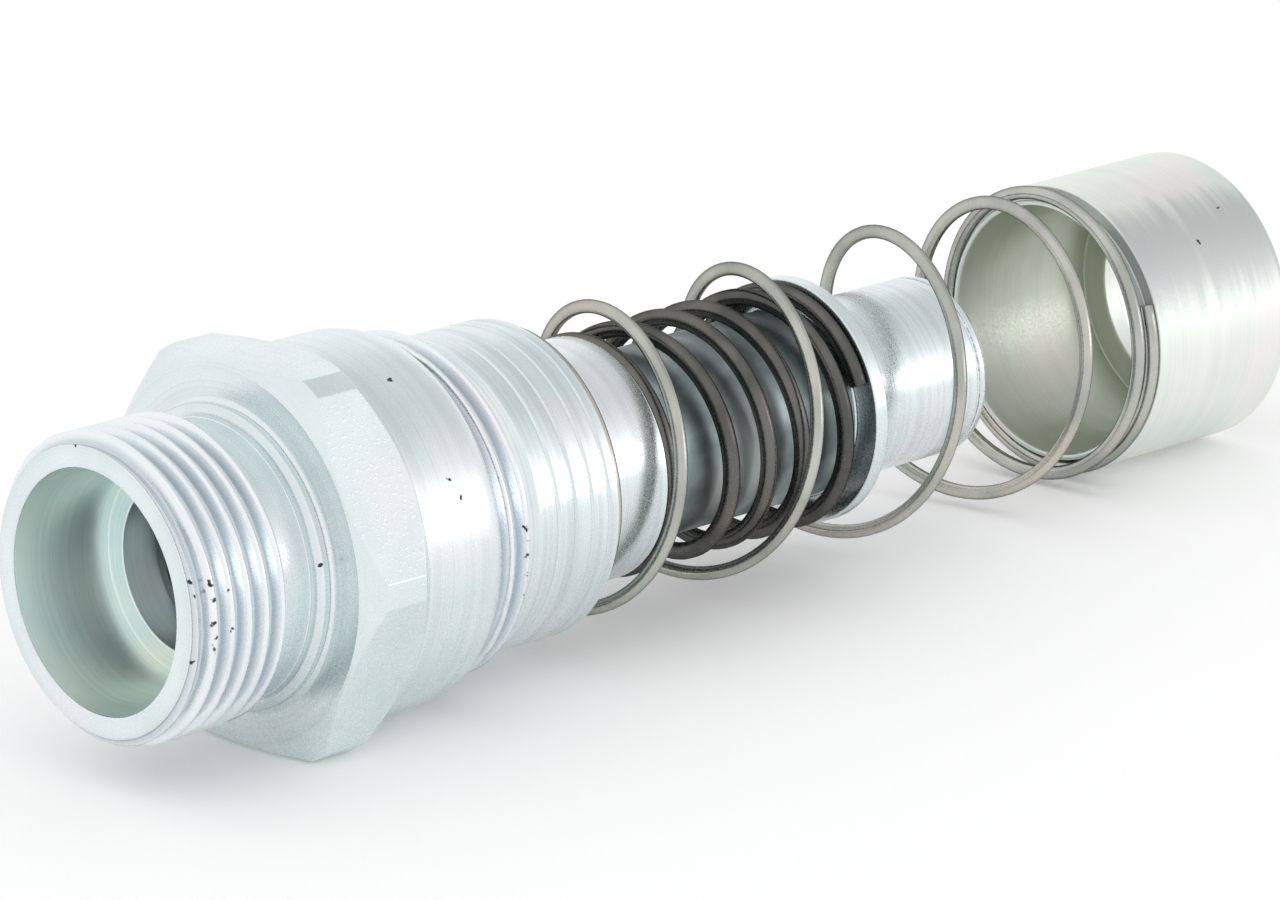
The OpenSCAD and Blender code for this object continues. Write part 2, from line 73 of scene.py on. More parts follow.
# Port, hexagon and band
PORT_THREAD_R = 11.0
PITCH = 1.5
PORT_THREAD_X = PORT_X + 0.75
PORT_THREAD_END_X = PORT_THREAD_X + 5 * PITCH
PORT_FACE_R = 10.1
CONE_R = 8.65
CONE_DEPTH = 5.175
TUBE_R = 7.55
PORT_BORE_R = 6.0
CHAMBER_X = 3.0
CHAMBER_R = 8.0
UNDERCUT_R = 9.85
BEAD_X = PORT_THREAD_END_X + 2.55
BEAD_W = 1.3
BEAD_R = 10.8
BEAD_FOOT_R = BEAD_R - BEAD_W / 2
BEAD_MIDDLE_X = BEAD_X + BEAD_W / 2
HEX_X = BEAD_X + BEAD_W
HEX_FLAT = 13.5
HEX_CORNER_R = 15.1
HEX_FACE_R = 13.3
HEX_SLOPE = math.tan(math.radians(30))
HEX_FOOT_R = BEAD_FOOT_R + 1
HEX_BACK_X = HEX_X + (HEX_CORNER_R - HEX_FACE_R) * HEX_SLOPE + 3.5
BAND_R = 13.45
BAND_X = HEX_BACK_X + HEX_CORNER_R - BAND_R
BAND_JOIN_X = BAND_X + 1
CORNER_SKIN = 0.02
CORNER_STEP = 0.004
BAND_EDGE = 2.1
BAND_FACE_R = 12.7
PILOT_R = 10.6
FACE_CHAMFER = 0.1
UNDERCUT_STEP = 0.4

# Barrel
BODY_THREAD_R = 12.5
BODY_THREAD_X = BAND_END_X + 0.55 - 4 * PITCH
BODY_THREAD_END_X = BODY_THREAD_X + 6 * PITCH
OPEN_THREAD_X = BODY_THREAD_X + 3 * PITCH
RUNOUT_R = 11.1
BARREL_X = BODY_THREAD_END_X + 0.55
BARREL_R = 11.4
BARREL_CHAMFER = 0.8
RING_X = BARREL_X + 2.5
RING_PITCH = 1.57
RING_W = 0.34
RING_DEPTH = 0.12
RING_COUNT = 4
SHOULDER_X = BARREL_X + 8.1
NECK_R = 8.75
BARREL_PILOT_R = 10.55
GUIDE_SEAT_R = 8.65
GUIDE_BORE_R = 6.95
GUIDE_BORE_X = NECK_END_X - 15.6
BARREL_CHAMBER_R = 8
GUIDE_SEAT_X = SEAT_X + 3

# Seal grooves in the barrel: their two ends in the outline's order, and the radius of their floors
BODY_SEAL_GROOVE = (SEAT_X + 0.87, SEAT_X + 2.03, 9.44)
WIPER_GROOVE = (NECK_END_X - 0.97, NECK_END_X - 2.63, 7.71)
TAIL_SEAL_GROOVE = (GUIDE_BORE_X + 6.99, GUIDE_BORE_X + 4.57, 8.46)
GUIDE_RING_GROOVE = (GUIDE_BORE_X + 3.63, GUIDE_BORE_X + 1.57, 7.96)

# Valve sleeve
TAIL_R = 6.9
TAIL_BORE_R = 5.0
HEAD_BORE_R = 5.6
FLANGE_W = 1.2
FLANGE_R = 8.95
NOSE_R = 6.55
NOSE_LEN = 12.3
NOSE_X = TIP_X - NOSE_LEN
FLANGE_X = NOSE_X - FLANGE_W
HEAD_SEAT_X = TIP_X - 5.65
LIP_X = TIP_X - 0.9
LIP_GROOVE = 0.35
LIP_DEPTH = 0.2
TIP_EDGE = 0.4
VALVE_JOIN_X = TAIL_X + 8

# Coupling sleeve
SPIGOT_R = 9.75
SLEEVE_SHOULDER_X = SLEEVE_X + 1.1
SLEEVE_JOIN_X = SLEEVE_X + 6
SLEEVE_R = 10.7
SLEEVE_BORE_R = 9.35
END_HOLE_R = 7.2
END_WALL = 1.5
SLEEVE_END_R = 0.8

# Springs: pitches of their turns, wire, and the angle at which the turns are counted
INNER_PITCHES = [5.6, 3.7, 3.2, 4.3, 1.95]
OUTER_PITCHES = [6.7, 13.2, 14.1, 12.6, 5.1, 1.3]
INNER_MEAN_R = 8.275
INNER_WIRE = 1.25
INNER_LEAD = 0.5
OUTER_MEAN_R = 10.35
OUTER_WIRE = 1.0
OUTER_LEAD = 0.6
COUNT_ANGLE = 159.5
INNER_LEN = FLANGE_X - NECK_END_X
OUTER_LEN = SLEEVE_SHOULDER_X - SHOULDER_X
WIRE_END_PAST = 0.08
WIRE_END_SHRINK = 0.8

# Threads and broken edges
THREAD_DEPTH = 0.61
CREST = 1 / 8
ROOT = 1 / 4
FLANK_STRAIGHT = 0.45
PORT_RUNOUT_SLOPE = -1.75
BODY_RUNOUT_SLOPE = -2
HIDDEN_TURNS = 3
HIDDEN_CREST_R = BODY_THREAD_R + 0.05
PORT_STEP = 0.075
BODY_STEP = 0.07
EDGE = 0.3

# Knocks in the crests: how many, and how deep
PORT_DENTS = (70, 0.09)
BODY_DENTS = (60, 0.1)
DENT_WIDTHS = (0.08, 0.25)
DENT_LENGTHS = (0.15, 0.6)
DENT_FADE = 0.5

# Radii of the broken edges, and the angle from which on a corner counts as straight
HEX_BREAK = 0.16
BEAD_BREAK = 0.1
BAND_BREAK = 0.05
BARREL_INSIDE_BREAK = 0.08
BARREL_OUTSIDE_BREAK = 0.07
SLEEVE_BREAK = 0.14
STRAIGHT = math.radians(160)


# ---------------------------------------------------------------- outlines
def outline(points):
    """Points as rows of an outline: an array of rows, columns round the axis, and [x, radius]."""
    rows = np.asarray(points, float)
    return rows[:, None, :] if rows.ndim == 2 else rows


def soften(points, radius=0.12, steps=3, hold=0.06):
    """Rounds the corners of an open outline, and leaves its two ends where they are."""
    rows = outline(points)
    made = [rows[0]]
    for before, here, after in zip(rows[:-2], rows[1:-1], rows[2:]):
        u, v = before - here, after - here
        lu = np.linalg.norm(u, axis=-1, keepdims=True)
        lv = np.linalg.norm(v, axis=-1, keepdims=True)
        u, v = u / lu, v / lv
        between = np.arccos(np.clip((u * v).sum(-1, keepdims=True), -1, 1))
        if between.min() > STRAIGHT:
            made.append(here)
            continue
        reach = np.minimum(radius / np.tan(between / 2), 0.4 * np.minimum(lu, lv))
        first, last = here + u * reach, here + v * reach
        made.append(first + u * np.minimum(hold, 0.2 * lu))
        for s in np.linspace(0, 1, steps + 1):
            made.append((1 - s) ** 2 * first + 2 * s * (1 - s) * here + s * s * last)
        made.append(last + v * np.minimum(hold, 0.2 * lv))
    made.append(rows[-1])
    return np.array(made)


def quarter(x, r, dx, dr, steps=10):
    """Points of an elliptical quarter about [x, r], from its top to its right end."""
    return [[x + dx * math.sin(a), r + dr * math.cos(a)] for a in np.linspace(0, math.pi / 2, steps + 1)]


def groove(wall, x0, x1, floor):
    """A square groove from x0 to x1 in a wall, both given by their radii."""
    return [[x0, wall], [x0, floor], [x1, floor], [x1, wall]]


def ridges(x0, turns, crest_r):
    """Closed ridges at the thread's pitch, where the thread is out of sight."""
    made = []
    for i in range(turns):
        middle = x0 + (i + 0.5) * PITCH
        for down, along in ((1, ROOT / 2 - 0.5), (0, -CREST / 2), (0, CREST / 2), (1, 0.5 - ROOT / 2)):
            made.append([middle + along * PITCH, crest_r - down * PITCH * THREAD_DEPTH])
    return made


def thread_rows(x0, x1, step, crest_x, crest_r, angles, limits):
    """A right-handed thread as rows from x0 to x1, with a crest at crest_x on the camera's side."""
    x = np.linspace(x0, x1, int((x1 - x0) / step) + 1)[:, None]
    turn = (np.degrees(angles)[None, :] - COUNT_ANGLE) / 360
    phase = (x - crest_x) / PITCH - turn
    off = np.abs(phase - np.round(phase))
    down = np.clip((off - CREST / 2) / (0.5 - ROOT / 2 - CREST / 2), 0, 1)
    down = FLANK_STRAIGHT * down + (1 - FLANK_STRAIGHT) * down * down * (3 - 2 * down)
    r = crest_r - PITCH * THREAD_DEPTH * down
    for at, radius, slope in limits:
        r = np.minimum(r, radius + slope * (x - at))
    return np.stack([x + 0 * r, r], axis=-1)


def dent(rows, angles, count, x0, x1, crest_r, depth):
    """Random small knocks in the crests of a thread, made in its rows."""
    for _ in range(count):
        x, a = random.uniform(x0, x1), random.uniform(0, 2 * math.pi)
        wide, long = random.uniform(*DENT_WIDTHS), random.uniform(*DENT_LENGTHS)
        deep = random.uniform(0.3, 1) * depth
        apart = (angles[None, :] - a + math.pi) % (2 * math.pi) - math.pi
        near = np.exp(-((rows[..., 0] - x) / wide) ** 2 - (apart * crest_r / long) ** 2)
        crest = np.clip((rows[..., 1] - crest_r + DENT_FADE) / DENT_FADE, 0, 1)
        rows[..., 1] -= deep * near * crest


# ---------------------------------------------------------------- meshes
def make_object(name, verts, faces):
    mesh = bpy.data.meshes.new(name)
    mesh.from_pydata(verts.tolist(), [], faces)
    mesh.polygons.foreach_set("use_smooth", [True] * len(mesh.polygons))
    mesh.update()
    obj = bpy.data.objects.new(name, mesh)
    bpy.context.scene.collection.objects.link(obj)
    return obj


def even_angles(count):
    return np.linspace(0, 2 * math.pi, count, endpoint=False)


def revolve(name, parts, angles):
    """Turns a closed outline, given as parts end to end, into a closed mesh about the axis."""
    rows = []
    for part in parts:
        for row in outline(part):
            row = np.broadcast_to(row, (len(angles), 2))
            if not rows or np.abs(rows[-1] - row).max() > 1e-5:
                rows.append(row)
    if np.abs(rows[-1] - rows[0]).max() < 1e-5:
        rows.pop()
    rows = np.array(rows)
    x, r = rows[..., 0], rows[..., 1]
    verts = np.stack([x, r * np.cos(angles), r * np.sin(angles)], axis=-1).reshape(-1, 3) * MM
    n, m = x.shape
    i, j = np.meshgrid(np.arange(n), np.arange(m), indexing="ij")
    i2, j2 = (i + 1) % n, (j + 1) % m
    faces = np.stack([i * m + j, i2 * m + j, i2 * m + j2, i * m + j2], axis=-1).reshape(-1, 4)
    mean_x, mean_r = x.mean(1), r.mean(1)
    if (mean_x * np.roll(mean_r, -1) - np.roll(mean_x, -1) * mean_r).sum() > 0:
        faces = faces[:, ::-1]
    return make_object(name, verts, faces.tolist())


def rise(pitches, t):
    """Rise of a spring after t turns, eased from turn to turn."""
    if t <= 0:
        return 0
    n = min(int(t), len(pitches) - 1)
    u, p = t - n, pitches[n]
    flat = min(pitches[0], pitches[-1]) / 2
    start = flat if n == 0 else (pitches[n - 1] + p) / 2
    stop = flat if n == len(pitches) - 1 else (p + pitches[n + 1]) / 2
    eased = p * u * u * (3 - 2 * u) + start * u * (1 - u) ** 2 - stop * u * u * (1 - u)
    return sum(pitches[:n]) + eased


def wind(name, x0, length, mean_r, wire, pitches, lead, hand, turn_steps=84, sides=18):
    """A round wire wound about the axis from x0, with its two ends cut square and broken."""
    turns = len(pitches)
    count = round((turns + lead) * turn_steps)
    stretch = (length - wire) / sum(pitches)
    section = np.arange(sides) * 2 * math.pi / sides
    rings = []
    for i in range(-1, count + 2):
        t = turns - (count - min(max(i, 0), count)) / turn_steps
        past = WIRE_END_PAST / (2 * math.pi * mean_r) * (-1 if i < 0 else 1 if i > count else 0)
        a = math.radians(COUNT_ANGLE) + hand * 2 * math.pi * (t + past)
        radius = wire / 2 * (1 if 0 <= i <= count else WIRE_END_SHRINK)
        x = x0 + wire / 2 + stretch * rise(pitches, t)
        r = mean_r + radius * np.sin(section)
        rings.append(np.stack([x + radius * np.cos(section), r * math.cos(a), r * math.sin(a)], -1))
    verts = np.concatenate(rings) * MM
    total = len(rings)
    faces = []
    for i in range(total - 1):
        for k in range(sides):
            a, b = i * sides + k, i * sides + (k + 1) % sides
            faces.append([a, b, b + sides, a + sides])
    faces += [list(range(sides))[::-1], [(total - 1) * sides + k for k in range(sides)]]
    if hand < 0:
        faces = [f[::-1] for f in faces]
    return make_object(name, verts, faces)


# ---------------------------------------------------------------- pieces
def hexagon_angles():
    """Even steps round the axis, with extra ones where a flat meets a turned corner."""
    half = math.acos(HEX_FLAT / HEX_CORNER_R)
    extra = [math.radians(30 + 60 * k) + side * (half + off)
             for k in range(6) for side in (-1, 1) for off in (-CORNER_STEP, 0, CORNER_STEP)]
    return np.unique(np.round(np.concatenate([even_angles(360), np.array(extra) % (2 * math.pi)]), 6))


def hexagon_rows(angles):
    """Rows over the hexagon: front chamfer, flats and turned corners, back chamfer."""
    off = np.abs(angles % (math.pi / 3) - math.pi / 6)
    r = np.minimum(HEX_FLAT / np.cos(off), HEX_CORNER_R)
    r = np.maximum(r, BAND_R + CORNER_SKIN)
    front = HEX_X + (r - HEX_FACE_R) * HEX_SLOPE
    back = HEX_BACK_X + HEX_CORNER_R - r
    one = np.ones_like(r)
    points = [[HEX_X * one, HEX_FOOT_R * one], [HEX_X * one, HEX_FACE_R * one], [front, r], [back, r],
              [BAND_X * one, BAND_R * one], [BAND_JOIN_X * one, BAND_R * one]]
    return soften([np.stack(p, axis=-1) for p in points], HEX_BREAK)


def make_adapter():
    angles = hexagon_angles()
    tail_end_x = BODY_THREAD_X + HIDDEN_TURNS * PITCH
    bore = [[BAND_END_X - 0.5, HIDDEN_CREST_R],
            [BODY_THREAD_X + (HIDDEN_TURNS + 0.4) * PITCH, HIDDEN_CREST_R],
            [tail_end_x, HIDDEN_CREST_R - PITCH * THREAD_DEPTH]]
    bore += ridges(BODY_THREAD_X, HIDDEN_TURNS, HIDDEN_CREST_R)[::-1]
    bore += [[BODY_THREAD_X, PILOT_R], [SEAT_X, PILOT_R], [SEAT_X, CHAMBER_R],
             [CHAMBER_X + CHAMBER_R - PORT_BORE_R, CHAMBER_R], [CHAMBER_X, PORT_BORE_R],
             [0, PORT_BORE_R], [0, TUBE_R], [PORT_X + CONE_DEPTH, TUBE_R], [PORT_X, CONE_R],
             [PORT_X, PORT_FACE_R], [PORT_X + FACE_CHAMFER, PORT_FACE_R + FACE_CHAMFER]]
    thread = thread_rows(PORT_X + FACE_CHAMFER, PORT_THREAD_END_X, PORT_STEP,
                         PORT_THREAD_X + PITCH / 2, PORT_THREAD_R, angles,
                         [(PORT_X, PORT_FACE_R, 1), (PORT_THREAD_END_X, UNDERCUT_R, PORT_RUNOUT_SLOPE)])
    count, depth = PORT_DENTS
    dent(thread, angles, count, PORT_X + 0.9, PORT_THREAD_END_X - 0.6, PORT_THREAD_R, depth)
    half_bead = quarter(BEAD_MIDDLE_X, BEAD_FOOT_R, BEAD_W / 2, BEAD_W / 2)
    bead = [[PORT_THREAD_END_X, UNDERCUT_R], [PORT_THREAD_END_X + UNDERCUT_STEP, UNDERCUT_R],
            [BEAD_X, UNDERCUT_R], [BEAD_X, BEAD_FOOT_R]]
    bead += [[2 * BEAD_MIDDLE_X - x, r] for x, r in half_bead[::-1]]
    bead += half_bead + [[HEX_X, BEAD_FOOT_R], [HEX_X, HEX_FOOT_R]]
    edge = [[BAND_JOIN_X, BAND_R]]
    edge += quarter(BAND_END_X - BAND_EDGE, BAND_FACE_R, BAND_EDGE, BAND_R - BAND_FACE_R, 14)
    edge += [[BAND_END_X, HIDDEN_CREST_R], [BAND_END_X - 0.5, HIDDEN_CREST_R]]
    parts = [soften(bore), thread, soften(bead, BEAD_BREAK), hexagon_rows(angles), soften(edge, BAND_BREAK)]
    obj = revolve("port_adapter_turned", parts, angles)
    return finish_piece(obj, "body", "port_adapter")


def make_barrel():
    angles = even_angles(360)
    inside = [[GUIDE_BORE_X, GUIDE_BORE_R], [GUIDE_BORE_X - EDGE, GUIDE_BORE_R + EDGE],
              [GUIDE_BORE_X - EDGE, BARREL_CHAMBER_R], [GUIDE_SEAT_X, BARREL_CHAMBER_R],
              [GUIDE_SEAT_X, GUIDE_SEAT_R], [SEAT_X, GUIDE_SEAT_R], [SEAT_X, BARREL_PILOT_R - EDGE],
              [SEAT_X + EDGE, BARREL_PILOT_R]]
    inside += groove(BARREL_PILOT_R, *BODY_SEAL_GROOVE) + [[BODY_THREAD_X, BARREL_PILOT_R]]
    inside += ridges(BODY_THREAD_X, HIDDEN_TURNS, BODY_THREAD_R)
    inside += [[OPEN_THREAD_X, BODY_THREAD_R - PITCH * THREAD_DEPTH]]
    thread = thread_rows(OPEN_THREAD_X, BODY_THREAD_END_X, BODY_STEP, OPEN_THREAD_X + PITCH / 2,
                         BODY_THREAD_R, angles, [(BODY_THREAD_END_X, RUNOUT_R, BODY_RUNOUT_SLOPE)])
    count, depth = BODY_DENTS
    dent(thread, angles, count, BAND_END_X, BODY_THREAD_END_X, BODY_THREAD_R, depth)
    outside = [[BODY_THREAD_END_X, RUNOUT_R], [BARREL_X, RUNOUT_R], [BARREL_X + BARREL_CHAMFER, BARREL_R]]
    for i in range(RING_COUNT):
        middle = RING_X + i * RING_PITCH
        outside += [[middle - RING_W / 2, BARREL_R], [middle, BARREL_R - RING_DEPTH],
                    [middle + RING_W / 2, BARREL_R]]
    outside += [[SHOULDER_X, BARREL_R], [SHOULDER_X, NECK_R], [NECK_END_X, NECK_R],
                [NECK_END_X, GUIDE_BORE_R]]
    for place in (WIPER_GROOVE, TAIL_SEAL_GROOVE, GUIDE_RING_GROOVE):
        outside += groove(GUIDE_BORE_R, *place)
    parts = [soften(inside, BARREL_INSIDE_BREAK), thread, soften(outside, BARREL_OUTSIDE_BREAK)]
    obj = revolve("barrel_turned", parts, angles)
    return finish_piece(obj, "body", "barrel")


def make_valve_sleeve():
    points = [[VALVE_JOIN_X, TAIL_BORE_R], [TAIL_X, TAIL_BORE_R], [TAIL_X, TAIL_R - EDGE],
              [TAIL_X + EDGE, TAIL_R], [FLANGE_X, TAIL_R], [FLANGE_X, FLANGE_R], [NOSE_X, FLANGE_R],
              [NOSE_X, NOSE_R], [LIP_X - LIP_GROOVE / 2, NOSE_R], [LIP_X, NOSE_R - LIP_DEPTH],
              [LIP_X + LIP_GROOVE / 2, NOSE_R]]
    points += quarter(TIP_X - TIP_EDGE, NOSE_R - TIP_EDGE, TIP_EDGE, TIP_EDGE, 8)
    points += [[TIP_X, HEAD_BORE_R], [HEAD_SEAT_X, HEAD_BORE_R],
               [HEAD_SEAT_X - HEAD_BORE_R + TAIL_BORE_R, TAIL_BORE_R], [VALVE_JOIN_X, TAIL_BORE_R]]
    obj = revolve("valve_sleeve_turned", [soften(points)], even_angles(256))
    return finish_piece(obj, "valve", "valve_sleeve")


def make_coupling_sleeve():
    points = [[SLEEVE_JOIN_X, SLEEVE_BORE_R], [SLEEVE_X, SLEEVE_BORE_R], [SLEEVE_X, SPIGOT_R],
              [SLEEVE_SHOULDER_X, SPIGOT_R], [SLEEVE_SHOULDER_X, SLEEVE_R]]
    points += quarter(SLEEVE_END_X - SLEEVE_END_R, SLEEVE_R - SLEEVE_END_R, SLEEVE_END_R, SLEEVE_END_R)
    points += [[SLEEVE_END_X, END_HOLE_R], [SLEEVE_END_X - END_WALL, END_HOLE_R],
               [SLEEVE_END_X - END_WALL, SLEEVE_BORE_R], [SLEEVE_JOIN_X, SLEEVE_BORE_R]]
    obj = revolve("coupling_sleeve_turned", [soften(points, SLEEVE_BREAK)], even_angles(300))
    return finish_piece(obj, "sleeve", "coupling_sleeve")


def make_springs():
    inner = wind("inner_spring_wire", NECK_END_X, INNER_LEN, INNER_MEAN_R, INNER_WIRE, INNER_PITCHES,
                 INNER_LEAD, 1)
    finish_piece(inner, "body", "inner_spring")
    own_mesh(inner)
    outer = wind("outer_spring_wire", SHOULDER_X, OUTER_LEN, OUTER_MEAN_R, OUTER_WIRE, OUTER_PITCHES,
                 OUTER_LEAD, -1)
    finish_piece(outer, "body", "outer_spring")
    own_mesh(outer)
    return inner, outer


def finish_piece(obj, body, node):
    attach(obj, body)
    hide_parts(node)
    return obj


# ---------------------------------------------------------------- materials
ZINC = (0.80, 0.87, 0.88)
ZINC_SHADE = (0.74, 0.82, 0.83)
ZINC_WARM = (0.84, 0.85, 0.88)
# The port's cone and bore are painted paler and greener than the outside zinc: painted light bounced about
# inside the port
INSIDE_PAINTED_LIGHT = (0.89, 0.97, 0.94)
INSIDE_PAINTED_LIGHT_DIM = (0.80, 0.93, 0.93)
INSIDE_PAINTED_LIGHT_WARM = (0.93, 0.95, 0.86)
# Painted shade in a thread's roots, mixed in by radius
ROOT_PAINTED_SHADE = (0.56, 0.62, 0.66)
# Grey of the stripe along the coupling sleeve: a painted reflection of dimmer surroundings
STRIPE_PAINTED_REFLECTION = (0.52, 0.55, 0.55)
# The threads are paler than the plain zinc, a painted highlight on the crests, with the plating's pinkish
# cast
THREAD = (0.89, 0.93, 0.95)
THREAD_SHADE = (0.84, 0.89, 0.92)
THREAD_WARM = (0.93, 0.90, 0.94)
# The valve sleeve's tail between the dark spring's coils is painted dark and mottled: painted shade of the
# coils
TAIL_PAINTED_SHADE = (0.46, 0.52, 0.53)
TAIL_PAINTED_SHADE_DARK = (0.20, 0.24, 0.24)
TAIL_PAINTED_SHADE_WARM = (0.72, 0.74, 0.72)
# The coupling sleeve's bore is painted darker and greener than its outside: painted shade inside the sleeve
BORE_PAINTED_SHADE = (0.66, 0.70, 0.61)
BORE_PAINTED_SHADE_DARK = (0.58, 0.64, 0.56)
BORE_PAINTED_SHADE_WARM = (0.72, 0.70, 0.64)
YELLOW = (0.86, 0.90, 0.84)
YELLOW_SHADE = (0.80, 0.86, 0.82)
YELLOW_WARM = (0.90, 0.86, 0.86)
MARK = (0.05, 0.055, 0.06)

# Dark knocks, each as x, angle round the axis, radius and size. About ten of them stand where the photo
# has a dark mark; the rest are invented.
SLEEVE_MARKS = [
    (90.5, 140, 10.7, 0.22), (94.2, 128, 10.7, 0.16), (88.0, 30, 10.7, 0.2), (95.0, 300, 10.7, 0.2)]
ADAPTER_MARKS = [
    (-6.95, 172.8, 10.7, 0.30), (-6.3, 180.5, 10.9, 0.26), (-7.2, 163, 10.4, 0.24), (-7.1, 169, 10.5, 0.26),
    (-6.6, 175, 10.9, 0.22), (-6.0, 166, 11, 0.2), (-6.05, 172, 11, 0.24), (-5.95, 185, 11, 0.22),
    (-4.5, 170, 11, 0.18), (-6.9, 150, 10.7, 0.16), (-7.3, 195, 10.2, 0.2), (-6.9, 177, 10.7, 0.2),
    (-6.1, 190, 11, 0.22), (-4.6, 184, 11, 0.2), (3.62, 169.4, 10.8, 0.26),
    (-7.3, 81.4, 10.2, 0.24), (-5.9, 60, 11, 0.2), (-1.2, 89.6, 11, 0.22), (-6.2, 300, 11, 0.3),
    (-3.2, 20, 11, 0.24), (13.89, 154, 13.45, 0.2), (14.48, 159.8, 13.45, 0.22), (13.8, 118.8, 13.45, 0.25),
    (13.5, 250, 13.45, 0.24), (12.2, 20, 13.45, 0.26), (7.0, 330, 13.6, 0.24)]
BARREL_MARKS = [
    (18.87, 157.2, 12.5, 0.24), (20.58, 174.6, 12.4, 0.24), (20.6, 179, 12.4, 0.2),
    (20.55, 184.3, 12.4, 0.26), (20.8, 198, 12.3, 0.26), (20.7, 190, 12.4, 0.2),
    (19.3, 60, 12.5, 0.24), (20.7, 320, 12.5, 0.3),
    (27.6, 164.3, 11.4, 0.12), (33.5, 40, 8.75, 0.2)]

# Noise scales, in features to a mm; how dark the lines are; how far marks are pulled about, in mm; and
# the bump's height, in mm
FINE_LINES = 5.0
COARSE_LINES = 0.9
CLOUDS = 0.16
CASTS = 0.09
SPECKS = 9.0
PITS = 3.2
LINE_DARK = 0.55
RAGGED_MM = 1.1
BUMP_HEIGHT = 0.012


def add(tree, kind, inputs=None, **settings):
    """A node with its settings, and its inputs set to values or joined to sockets."""
    node = tree.nodes.new("ShaderNode" + kind)
    for key, value in settings.items():
        setattr(node, key, value)
    for key, value in (inputs or {}).items():
        if isinstance(value, bpy.types.NodeSocket):
            tree.links.new(value, node.inputs[key])
        else:
            node.inputs[key].default_value = value
    return node


def new_material(name, **sockets):
    material = bpy.data.materials.new(name)
    material.use_nodes = True
    shader = material.node_tree.nodes["Principled BSDF"]
    for key, value in sockets.items():
        shader.inputs[key.replace("_", " ").title().replace("Ior", "IOR")].default_value = value
    return material, material.node_tree, shader


def math_of(tree, operation, *values):
    return add(tree, "Math", dict(enumerate(values)), operation=operation).outputs[0]


def noise(tree, scale, detail=3.0, rough=0.5, vector=None, w=None):
    if w is None:
        inputs = {"Vector": vector, "Scale": scale, "Detail": detail, "Roughness": rough}
        return add(tree, "TexNoise", inputs).outputs["Fac"]
    inputs = {"W": w, "Scale": scale, "Detail": detail, "Roughness": rough}
    return add(tree, "TexNoise", inputs, noise_dimensions="1D").outputs["Fac"]


def band(tree, value, low, high, to_low=0.0, to_high=1.0):
    inputs = {"Value": value, "From Min": low, "From Max": high, "To Min": to_low, "To Max": to_high}
    return add(tree, "MapRange", inputs, interpolation_type="SMOOTHSTEP").outputs["Result"]


def tint(tree, factor, a, b, blend="MIX"):
    node = add(tree, "Mix", {"Factor": factor}, data_type="RGBA", blend_type=blend)
    colours = [s for s in node.inputs if s.type == "RGBA"]
    for socket, value in zip(colours, (a, b)):
        if isinstance(value, bpy.types.NodeSocket):
            tree.links.new(value, socket)
        else:
            socket.default_value = (*value, 1)
    return [s for s in node.outputs if s.type == "RGBA"][0]


def turning(tree):
    """In mm: the point, its place along the tool's path (x plus radius), and its radius alone."""
    point = add(tree, "TexCoord").outputs["Object"]
    point = add(tree, "VectorMath", {0: point, "Scale": 1 / MM}, operation="SCALE").outputs[0]
    split = add(tree, "SeparateXYZ", {0: point})
    flat = add(tree, "CombineXYZ", {1: split.outputs[1], 2: split.outputs[2]}).outputs[0]
    radius = add(tree, "VectorMath", {0: flat}, operation="LENGTH").outputs["Value"]
    path = math_of(tree, "ADD", split.outputs[0], radius)
    return point, path, radius


def spots(tree, point, marks):
    """Mask of ragged dark marks: each is a place along the axis, an angle round it, a radius and a size."""
    ragged = add(tree, "TexNoise", {"Vector": point, "Scale": 1.6, "Detail": 4.0}).outputs["Color"]
    shift = add(tree, "VectorMath", {0: ragged, 1: (0.5, 0.5, 0.5)}, operation="SUBTRACT").outputs[0]
    inputs = {0: shift, 1: (RAGGED_MM, RAGGED_MM, RAGGED_MM), 2: point}
    moved = add(tree, "VectorMath", inputs, operation="MULTIPLY_ADD").outputs[0]
    mask = None
    for x, angle, radius, size in marks:
        a = math.radians(angle)
        at = (x, radius * math.cos(a), radius * math.sin(a))
        far = add(tree, "VectorMath", {0: moved, 1: at}, operation="DISTANCE").outputs["Value"]
        near = band(tree, far, 0.6 * size, size, 1, 0)
        mask = near if mask is None else math_of(tree, "MAXIMUM", mask, near)
    return mask


